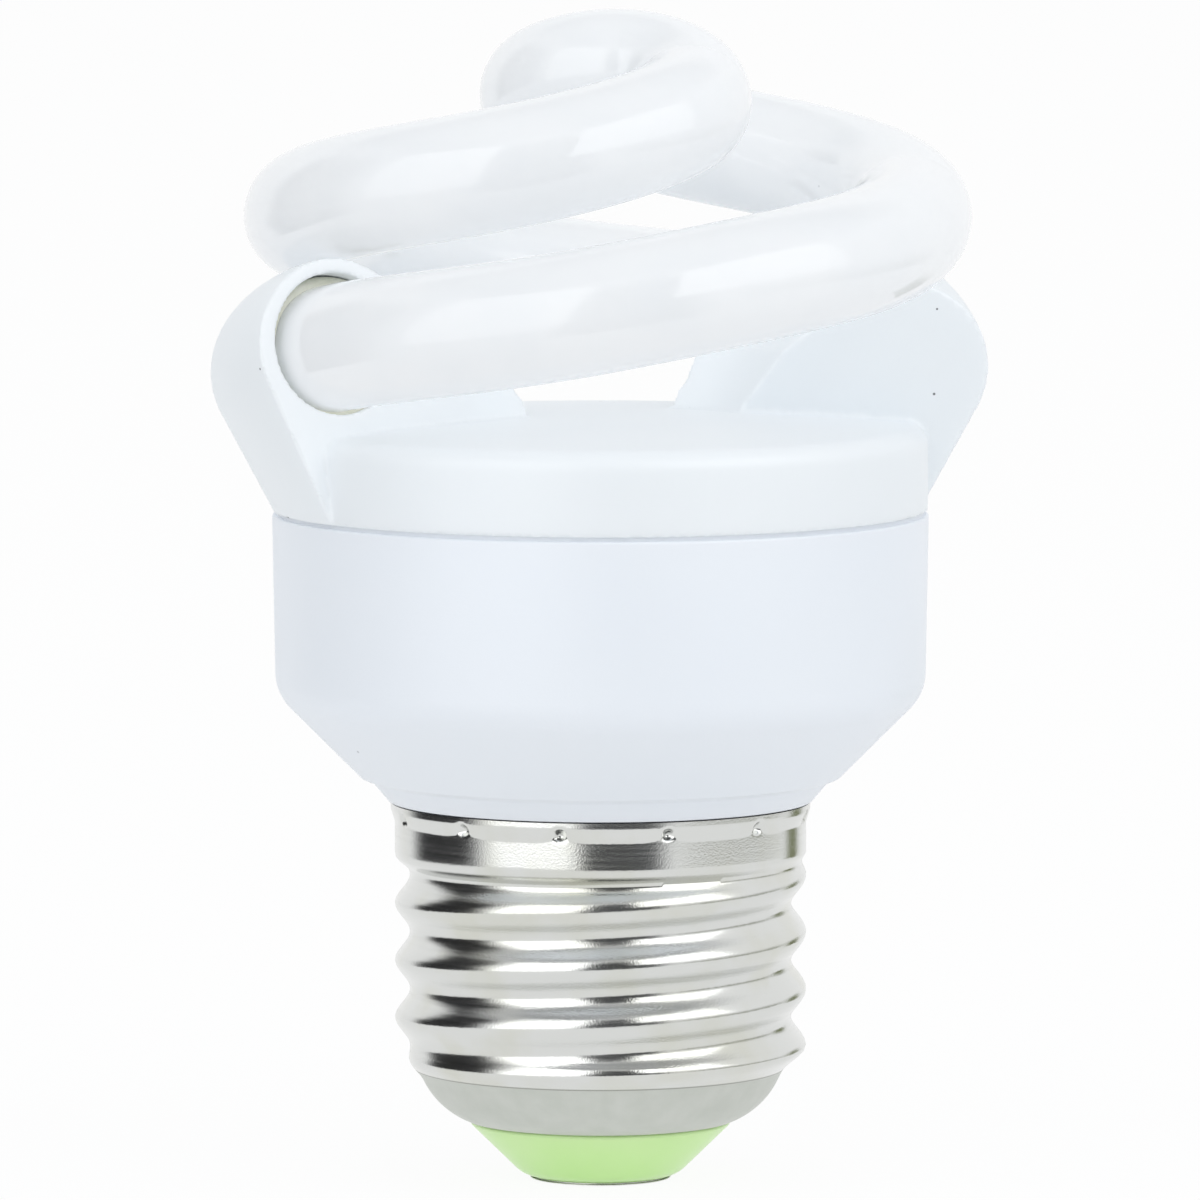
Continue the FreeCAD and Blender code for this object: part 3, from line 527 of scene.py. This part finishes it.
def rise_at(turn):
    """Height above the holder's crown, smooth through the rises."""
    index = 1
    while index < len(RISES) - 2 and turn > RISES[index + 1][0]:
        index += 1
    (x0, y0), (x1, y1), (x2, y2) = RISES[index - 1:index + 2]
    x3, y3 = RISES[min(index + 2, len(RISES) - 1)]
    t = (turn - x1) / (x2 - x1)
    leave = (y2 - y0) / (x2 - x0) * (x2 - x1)
    arrive = (y3 - y1) / (x3 - x1) * (x2 - x1)
    return (y1 * (2 * t ** 3 - 3 * t ** 2 + 1) + leave * (t ** 3 - 2 * t ** 2 + t)
            + y2 * (3 * t ** 2 - 2 * t ** 3) + arrive * (t ** 3 - t ** 2))


def tube_centre(turn, side):
    """A point of the tube's middle on the first (side 1) or the second spiral (side -1), in mm."""
    a = radians(turn % 90)
    if turn <= 360:
        x, y = COIL * cos(radians(turn)), COIL * sin(radians(turn))
    elif turn < 450:
        x, y = COIL - SWEEP_IN + SWEEP_IN * cos(a), SWEEP_IN * sin(a)
    elif turn < 540:
        x = COIL - SWEEP_IN - (COIL - SWEEP_IN + LOBE) * sin(a)
        y = LOBE + (SWEEP_IN - LOBE) * cos(a)
    else:
        a = radians(turn - 540)
        x, y = -LOBE * cos(a), LOBE - LOBE * sin(a)
    rise = rise_at(turn)
    drift = DRIFT * max(rise - MOUTH_RISE, 0)
    tilt = TILT * soft_step(turn, HOOD_MOUTH, 300) * (1 - soft_step(turn, 300, 360))
    return Vector((side * x + drift, side * y, CROWN + rise - tilt * side * y))


TURN_STEP = 1.5
turns = [TUBE_END + TURN_STEP * i for i in range(int((CROSSING - TUBE_END) / TURN_STEP) + 1)]
centre_line = [tube_centre(t, 1) for t in turns] + [tube_centre(t, -1) for t in reversed(turns[:-1])]
print("tube length in mm:", round(sum((b - a).length for a, b in zip(centre_line, centre_line[1:]))))

# %% Tube mesh
TUBE_RADIUS, TUBE_TOP_RADIUS, TUBE_BEVEL = 4.0, 3.75, 30
SEAM = 0.002

deselect()
bpy.ops.curve.primitive_nurbs_path_add()
tube = bpy.context.object
tube.name = "spiral_glass"
tube.data.splines.clear()
line = tube.data.splines.new("POLY")
line.points.add(len(centre_line) - 1)
middle = (len(centre_line) - 1) / 2
for index, (point, place) in enumerate(zip(line.points, centre_line)):
    point.co = (*(place * MM), 1)
    share = 1 - abs(index - middle) / middle
    point.radius = 1 + (TUBE_TOP_RADIUS / TUBE_RADIUS - 1) * share
tube.data.bevel_depth = TUBE_RADIUS * MM
tube.data.bevel_resolution = TUBE_BEVEL
tube.data.use_fill_caps = True
bpy.ops.object.convert(target="MESH")
tube = bpy.context.object


def close_seams():
    """Merges double points of the active piece and turns all its faces outwards."""
    bpy.ops.object.mode_set(mode="EDIT")
    bpy.ops.mesh.select_all(action="SELECT")
    bpy.ops.mesh.remove_doubles(threshold=SEAM * MM)
    bpy.ops.mesh.normals_make_consistent(inside=False)
    bpy.ops.object.mode_set(mode="OBJECT")


close_seams()
bpy.ops.object.shade_smooth_by_angle(angle=radians(40))
print("points of the tube:", len(tube.data.vertices))

# %% Tube finish
def finish_piece(piece, material, slot, *nodes):
    """Gives a piece its material and lets it ride in place of the CAD nodes it stands for."""
    piece.data.materials.clear()
    piece.data.materials.append(material)
    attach(piece, "root")
    if nodes:
        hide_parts(*nodes)
    piece.data.calc_loop_triangles()
    print(piece.name, "triangles:", len(piece.data.loop_triangles))


tube.visible_diffuse = False
tube.visible_shadow = False
finish_piece(tube, glass_finish, "tube_glass", "spiral_tube")

# %% [markdown]
# ## The tube holder
# The cover with its two hooded sockets is one moulding, so every edge has a small radius and the
# hoods flow into the plate. Bevels on so many crossing edges would break, so a copy of the CAD
# solid is rebuilt as an even skin and smoothed, which rounds all edges alike, as a mould does. The
# skirt's lower edge is the parting line and stays sharp: it is cut flat at the end.

# %% Tube holder
VOXEL, SOFTENING, KEPT_FACES = 0.17, 0.5, 0.42


def copy_of(node, name):
    """A new piece with the merged mesh of a CAD node."""
    deselect()
    bpy.ops.mesh.primitive_plane_add(size=MM)
    piece = bpy.context.object
    piece.name = name
    piece.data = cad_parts[node].data.copy()
    piece.data.name = name
    bpy.ops.object.mode_set(mode="EDIT")
    bpy.ops.mesh.select_all(action="SELECT")
    bpy.ops.mesh.remove_doubles(threshold=SEAM * MM)
    bpy.ops.object.mode_set(mode="OBJECT")
    return piece


def apply_modifier(piece, kind, **settings):
    """Adds one modifier with its settings and applies it."""
    modifier = piece.modifiers.new(kind.lower(), kind)
    for name, value in settings.items():
        setattr(modifier, name, value)
    bpy.ops.object.modifier_apply(modifier=modifier.name)


holder = copy_of("tube_holder", "hooded_holder")
apply_modifier(holder, "REMESH", mode="VOXEL", voxel_size=VOXEL * MM, use_smooth_shade=True)
apply_modifier(holder, "SMOOTH", factor=SOFTENING, iterations=1)
apply_modifier(holder, "DECIMATE", ratio=KEPT_FACES)
print("faces of the softened holder:", len(holder.data.polygons))

# %% Parting line of the holder
SKIRT_BOTTOM, SKIRT_INSIDE, SKIRT_TOP = 42.46, 18.5, 44.0

bpy.ops.object.mode_set(mode="EDIT")
bpy.ops.mesh.select_mode(type="FACE")
bpy.ops.mesh.select_all(action="DESELECT")
bpy.ops.object.mode_set(mode="OBJECT")
for face in holder.data.polygons:
    x, y, z = face.center / MM
    face.select = hypot(x, y) > SKIRT_INSIDE and z < SKIRT_TOP
bpy.ops.object.mode_set(mode="EDIT")
bpy.ops.mesh.bisect(plane_co=(0, 0, SKIRT_BOTTOM * MM), plane_no=(0, 0, 1), clear_inner=True)
bpy.ops.mesh.bridge_edge_loops()
close_seams()
bpy.ops.object.shade_smooth_by_angle(angle=radians(50))
finish_piece(holder, holder_finish, "holder_plastic", "tube_holder")

# %% [markdown]
# ## Cement in the sockets
# The tube ends are set in pale cement that squeezes forward between glass and hood. A plain ring
# would look like a gasket, so a torus is laid round the tube just inside each mouth, and its points
# are pushed along the tube by a slow wave, as a finger-pressed bead has.

# %% Cement beads
BEAD_TURN, BEAD_RING, BEAD_THICK = 207.2, 4.22, 0.42
BEAD_WAVES = ((3, 0.14), (7, 0.06))
CEMENT_SHADE, CEMENT_LIGHT = (0.62, 0.63, 0.52), (0.72, 0.725, 0.63)


def cement_bead(side):
    """One bead round the tube at a socket, waved along the tube's direction."""
    place = tube_centre(BEAD_TURN, side) * MM
    along = (tube_centre(BEAD_TURN + 1, side) - tube_centre(BEAD_TURN - 1, side)).normalized()
    deselect()
    bpy.ops.mesh.primitive_torus_add(major_radius=BEAD_RING * MM, minor_radius=BEAD_THICK * MM,
                                     major_segments=96, minor_segments=16)
    bead = bpy.context.object
    for vertex in bead.data.vertices:
        angle = Vector((vertex.co.x, vertex.co.y)).angle_signed(Vector((1, 0)))
        vertex.co.z += sum(size * sin(count * angle) for count, size in BEAD_WAVES) * MM
    bead.rotation_euler = along.to_track_quat("Z", "Y").to_euler()
    bead.location = place
    bpy.ops.object.transform_apply()
    bpy.ops.object.shade_smooth()
    return bead


def ballast_finish(name, first, second, grain, roughness, metallic=0.0):
    """A cloud of two colours with a grain three times as fine."""
    finish, shader = new_finish(name, Roughness=roughness, Metallic=metallic)
    cloud = remap(finish, noise_on(finish, grain, 3), 0.35, 0.65)
    link(finish, blend_colour(finish, cloud, first, second), shader.inputs["Base Color"])
    skin = bump_from(finish, noise_on(finish, grain * 3), 0.1, 0.1 * MM)
    link(finish, skin, shader.inputs["Normal"])
    return finish


cement = ballast_finish("tube_cement", CEMENT_SHADE, CEMENT_LIGHT, 900, 0.8)
for name, side in (("cement_bead_left", 1), ("cement_bead_right", -1)):
    bead = cement_bead(side)
    bead.name = name
    finish_piece(bead, cement, "cement")

# %% [markdown]
# ## The lower case
# The case, the insulator and the contact are round pieces, made on the real lamp in round moulds and
# dies. Each is drawn as half a section, by pulling one vertex from corner to corner, and spun once
# round the axis. A stack of cylinders would need booleans, and its edges would stay sharp.

# %% Helpers for turned pieces
def rounded(corners, segments=6):
    """The points of a closed outline from (radius, height, round) corners in mm."""
    points = []
    for index, (r, z, radius) in enumerate(corners):
        corner = Vector((r, z))
        if not radius:
            points.append(corner)
            continue
        back = (Vector(corners[index - 1][:2]) - corner).normalized()
        onward = (Vector(corners[(index + 1) % len(corners)][:2]) - corner).normalized()
        half = back.angle(onward) / 2
        centre = corner + (back + onward).normalized() * (radius / sin(half))
        start = corner + back * (radius / tan(half)) - centre
        end = corner + onward * (radius / tan(half)) - centre
        sweep = start.angle_signed(end)
        for step in range(segments + 1):
            a = -sweep * step / segments
            arm = Vector((start.x * cos(a) - start.y * sin(a), start.x * sin(a) + start.y * cos(a)))
            points.append(centre + arm)
    return points


def turned_piece(name, corners, steps=192):
    """A closed outline drawn in the XZ plane and spun round the lamp's axis."""
    outline = rounded(corners)
    deselect()
    bpy.ops.mesh.primitive_plane_add(size=MM)
    piece = bpy.context.object
    piece.name = name
    bpy.ops.object.mode_set(mode="EDIT")
    bpy.ops.mesh.select_mode(type="VERT")
    bpy.ops.mesh.select_all(action="SELECT")
    bpy.ops.mesh.merge(type="CENTER")
    bpy.ops.transform.translate(value=(outline[0].x * MM, 0, outline[0].y * MM))
    for a, b in zip(outline, outline[1:] + outline[:1]):
        step = (b - a) * MM
        bpy.ops.mesh.extrude_region_move(TRANSFORM_OT_translate={"value": (step.x, 0, step.y)})
    bpy.ops.mesh.select_all(action="SELECT")
    bpy.ops.mesh.spin(steps=steps, angle=2 * pi, center=(0, 0, 0), axis=(0, 0, 1))
    close_seams()
    bpy.ops.object.shade_smooth_by_angle(angle=radians(32))
    return piece


print("points of one rounded corner:", len(rounded([(0, 0, 0), (2, 0, 0.5), (2, 2, 0)])) - 2)

# %% Lower case
case = turned_piece("lower_case", [
    (10.1, 15.05, 0), (11.6, 15.05, 0.4), (11.6, 20.05, 0.2), (12.2, 20.9, 0.2), (12.2, 24.05, 0),
    (13.4, 24.05, 0.15), (14.5, 25.35, 0.5), (15.2, 25.6, 0.25), (20.5, 30.9, 3.0),
    (20.7, 42.2, 0.18), (20.42, 42.2, 0), (20.42, 42.5, 0), (19.25, 42.5, 0),
    (19.25, 45.2, 0.3), (18.0, 45.2, 0.3),
    (18.0, 42.2, 0.2), (18.9, 41.3, 0.2), (18.9, 31.57, 1.4), (10.1, 22.77, 0.3)])
finish_piece(case, housing_finish, "housing_plastic", "lower_housing")

# %% [markdown]
# ## The screw cap
# The cap is thin plated sheet, drawn to a cup and rolled between two thread rollers, then crimped
# onto the plastic neck with a ring of punch marks. A screw modifier could cut a thread, but this one
# fades out at both ends. So a flat grid is rolled up like sheet: its width becomes the angle, its
# length the height, and the thread and the punch marks push each point in or out. The rows lie
# closest at the crimped edge, where the smallest forms are.

# %% Shape of the screw cap
SHELL_BOTTOM, SHELL_BOTTOM_RADIUS, COLLAR_TOP = 3.75, 8.5, 23.95
DOME_RADIUS, DOME_RISE = 5.04, 4.7
THREAD_START, THREAD_RUN_IN, THREAD_END, THREAD_RUN_OUT = 6.3, 2.2, 20.8, 1.1
PITCH, CREST_HEIGHT = 3.63, 12.05
CREST, ROOT, COLLAR = 13.0, 12.05, 13.0
CRIMPS, CRIMP_FIRST, CRIMP_DROP = 12, 258.9, 0.76
CRIMP_DEPTH, CRIMP_SIZE = 0.34, 0.36
EDGE_FLARE, EDGE_RIM, EDGE_NARROW, EDGE_SWAG = 0.26, 0.40, 0.80, 0.45
SWAG_POWER, PUNCH_POWER = 5, 4
COLLAR_ROWS_FROM = 22.3
ROWS = ((0.0, SHELL_BOTTOM), (0.15, THREAD_START), (0.74, THREAD_END), (0.80, COLLAR_ROWS_FROM),
        (1.0, COLLAR_TOP))


def row_height(share):
    """Height of a row of the sheet, from its share of the sheet's length."""
    for (share_a, height_a), (share_b, height_b) in zip(ROWS, ROWS[1:]):
        if share <= share_b:
            return height_a + (height_b - height_a) * (share - share_a) / (share_b - share_a)
    return COLLAR_TOP


def cap_radius(angle, height):
    """Radius of the cap's outside: dome end, rolled thread, collar."""
    dome_middle = SHELL_BOTTOM_RADIUS - sqrt(DOME_RADIUS ** 2 - DOME_RISE ** 2)
    below = max(SHELL_BOTTOM + DOME_RISE - height, 0)
    dome = dome_middle + sqrt(DOME_RADIUS ** 2 - below ** 2)
    thread_in = soft_step(height, THREAD_START, THREAD_START + THREAD_RUN_IN)
    thread_out = soft_step(height, THREAD_END - THREAD_RUN_OUT, THREAD_END)
    root = dome + (ROOT - dome_middle - DOME_RADIUS) * thread_in + (COLLAR - ROOT) * thread_out
    turn = (height - CREST_HEIGHT) / PITCH - angle / 360
    return root + (CREST - ROOT) * (0.5 + 0.5 * cos(2 * pi * turn)) * thread_in * (1 - thread_out)


def crimped(angle, height):
    """How far the crimping moves the collar out: a rim that flares in swags, less the punch marks."""
    spacing = 360 / CRIMPS
    off = (angle - CRIMP_FIRST + spacing / 2) % spacing - spacing / 2
    swag = EDGE_NARROW + EDGE_SWAG * (1 - (1 - 2 * abs(off) / spacing) ** SWAG_POWER)
    below_rim = COLLAR_TOP - EDGE_RIM - height
    flare = EDGE_FLARE * min(max(1 - below_rim / (swag - EDGE_RIM), 0), 1)
    reach = hypot(radians(off) * COLLAR, height - COLLAR_TOP + CRIMP_DROP)
    return flare - CRIMP_DEPTH * exp(-(reach / CRIMP_SIZE) ** PUNCH_POWER)


print("radius of crest and root in mm:", [round(cap_radius(a, CREST_HEIGHT), 2) for a in (0, 180)])

# %% Screw cap
SHEET_COLUMNS, SHEET_ROWS, SHEET_THICKNESS = 480, 92, 0.3

deselect()
bpy.ops.mesh.primitive_grid_add(x_subdivisions=SHEET_COLUMNS, y_subdivisions=SHEET_ROWS, size=1,
                                calc_uvs=True)
cap = bpy.context.object
cap.name = "rolled_cap"
for vertex in cap.data.vertices:
    angle = 360 * (vertex.co.x + 0.5)
    height = row_height(vertex.co.y + 0.5)
    radius = cap_radius(angle, height) + crimped(angle, height)
    vertex.co = Vector((radius * cos(radians(angle)), radius * sin(radians(angle)), height)) * MM
close_seams()
apply_modifier(cap, "SOLIDIFY", thickness=SHEET_THICKNESS * MM, offset=-1)
bpy.ops.object.shade_smooth_by_angle(angle=radians(50))
finish_piece(cap, cap_finish, "cap_metal", "screw_shell")

# %% [markdown]
# ## The contact end
# The green cone keeps the contact apart from the cap. It is cast against both, so it meets the cap's
# edge without a gap. The contact is a stamped disc with a soldered eyelet in the middle. Both are
# spun like the case, because discs and cones with bevels could not give the rounded lower edge.

# %% Insulator and contact
insulator = turned_piece("green_insulator", [
    (1.55, 0.3, 0), (4.3, 0.3, 0), (4.3, 0.14, 0.03), (5.1, 0.42, 2.0), (8.5, 3.75, 0.2),
    (8.15, 3.75, 0), (8.15, 6.2, 0.2), (1.55, 6.2, 0)], 144)
finish_piece(insulator, resin_finish, "insulator_green", "cap_insulator")

contact = turned_piece("contact_plate", [
    (0.001, 0.05, 0), (1.0, 0.02, 0.3), (1.45, 0.16, 0.1), (1.75, 0.16, 0.1), (2.2, 0.0, 0.1),
    (3.8, 0.0, 0.3), (4.45, 0.02, 0.02), (4.45, 0.08, 0.02), (4.25, 0.1, 0), (4.25, 0.3, 0),
    (1.5, 0.3, 0), (1.5, 6.6, 0.3), (0.001, 6.6, 0)], 96)
finish_piece(contact, contact_finish, "contact_metal", "centre_contact")

# %% [markdown]
# ## Parts sealed in the case
# The ballast parts can't be seen in the closed lamp, so they keep their CAD shape. Each still gets
# the finish of the real part, from a cloud of two colours with a grain, because a later user may open
# the case. Copper coils get fine bands instead, as wound wire has.

# %% Finishes of the ballast
COPPER_GAP, COPPER_WIRE, WIRE_BANDS = (0.32, 0.12, 0.05), (0.72, 0.34, 0.16), 900


def wound_copper():
    """Bands of bright wire and dark gaps, one above the other."""
    finish, shader = new_finish("wound_copper", Roughness=0.3, Metallic=0.9)
    bands = add_node(finish, "TexWave", {"Scale": 1.0, "Distortion": 0.4}, bands_direction="Z")
    link(finish, place_on(finish, WIRE_BANDS), bands.inputs["Vector"])
    colour = blend_colour(finish, bands.outputs["Fac"], COPPER_GAP, COPPER_WIRE)
    link(finish, colour, shader.inputs["Base Color"])
    link(finish, bump_from(finish, bands.outputs["Fac"], 0.4, 0.1 * MM), shader.inputs["Normal"])
    return finish


laminate = ballast_finish("board_laminate", (0.55, 0.38, 0.16), (0.68, 0.50, 0.24), 800, 0.55)
can_sleeve = ballast_finish("capacitor_sleeve", (0.02, 0.025, 0.06), (0.035, 0.045, 0.10), 400, 0.25)
ferrite = ballast_finish("ferrite", (0.025, 0.025, 0.028), (0.05, 0.05, 0.052), 1500, 0.6)
former = ballast_finish("former_plastic", (0.03, 0.028, 0.025), (0.05, 0.045, 0.04), 900, 0.45)
copper = wound_copper()
epoxy = ballast_finish("black_epoxy", (0.012, 0.012, 0.012), (0.03, 0.03, 0.03), 1800, 0.5)
film_dip = ballast_finish("film_dip", (0.30, 0.04, 0.02), (0.40, 0.07, 0.03), 500, 0.22)
lacquer = ballast_finish("resistor_lacquer", (0.50, 0.32, 0.14), (0.62, 0.42, 0.22), 700, 0.3)
fuse_coat = ballast_finish("fuse_coat", (0.15, 0.24, 0.18), (0.22, 0.32, 0.25), 1300, 0.7)
sleeve = ballast_finish("lead_sleeve", (0.60, 0.60, 0.57), (0.72, 0.72, 0.69), 600, 0.35)
print("materials with the ballast's finishes:", len(bpy.data.materials))

# %% Ballast
ballast_finishes = {
    "circuit_board": laminate, "bulk_capacitor": can_sleeve, "choke_core": ferrite,
    "choke_bobbin": former, "choke_winding": copper, "drive_toroid": ferrite,
    "toroid_windings": copper, "transistors": epoxy, "bridge_diodes": epoxy,
    "trigger_diode": lacquer, "film_capacitors": film_dip, "filter_core": ferrite,
    "filter_winding": copper, "resistors": lacquer, "fuse_resistor": fuse_coat,
    "contact_lead": sleeve, "shell_lead": sleeve, "wrap_posts": contact_finish,
    "filament_leads": contact_finish, "tube_cement": cement,
}
for node, finish in ballast_finishes.items():
    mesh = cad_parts[node].data
    mesh.materials.clear()
    mesh.materials.append(finish)
print("ballast nodes:", len(ballast_finishes))
